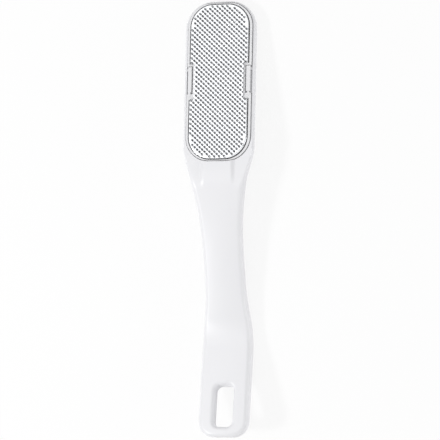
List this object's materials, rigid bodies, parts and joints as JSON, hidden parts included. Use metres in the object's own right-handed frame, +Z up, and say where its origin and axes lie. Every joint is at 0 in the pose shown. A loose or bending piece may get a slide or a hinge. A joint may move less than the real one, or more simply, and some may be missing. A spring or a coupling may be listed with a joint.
{
  "type": "foot file",
  "caption": "Foot file with a bent plastic handle, a perforated steel rasp plate in a lift-out carrier held by squeeze fingers, and a hanging slot at the tail.",
  "frame": {"origin": "on the ground under the middle of the bounding box, with the file lying on its back on its belly and the back edge of the head's tip", "axes": "+X to the right across the width, +Y along the length to the head's tip, +Z up, out of the rasp side"},
  "size_m": [0.0386, 0.2316, 0.0237],
  "materials": {
    "handle_plastic": "moulded, satin gloss, cool white",
    "carrier_plastic": "moulded, satin gloss, cool white",
    "rasp_steel": "pressed and perforated bright stainless sheet"
  },
  "bodies": {
    "handle": {"front_handle_shell": "handle_plastic", "back_handle_shell": "handle_plastic"},
    "cartridge": {"plate_carrier": "carrier_plastic", "rasp_plate": "rasp_steel"},
    "right_finger": {"right_release_finger": "carrier_plastic"},
    "left_finger": {"left_release_finger": "carrier_plastic"}
  },
  "joints": [
    {"name": "cartridge_lift", "type": "slide", "parent": "handle", "child": "cartridge", "axis": [0, 0.1633, 0.9866], "range_m": [0, 0.02]},
    {"name": "right_finger_squeeze", "type": "hinge", "parent": "cartridge", "child": "right_finger", "pos_m": [0.0162, 0.06623, 0.01372], "axis": [0, 0.1633, 0.9866], "range_deg": [0, 1.5], "stiffness_Nm_per_rad": 0.5},
    {"name": "left_finger_squeeze", "type": "hinge", "parent": "cartridge", "child": "left_finger", "pos_m": [-0.0162, 0.06623, 0.01372], "axis": [0, -0.1633, -0.9866], "range_deg": [0, 1.5], "stiffness_Nm_per_rad": 0.5}
  ]
}
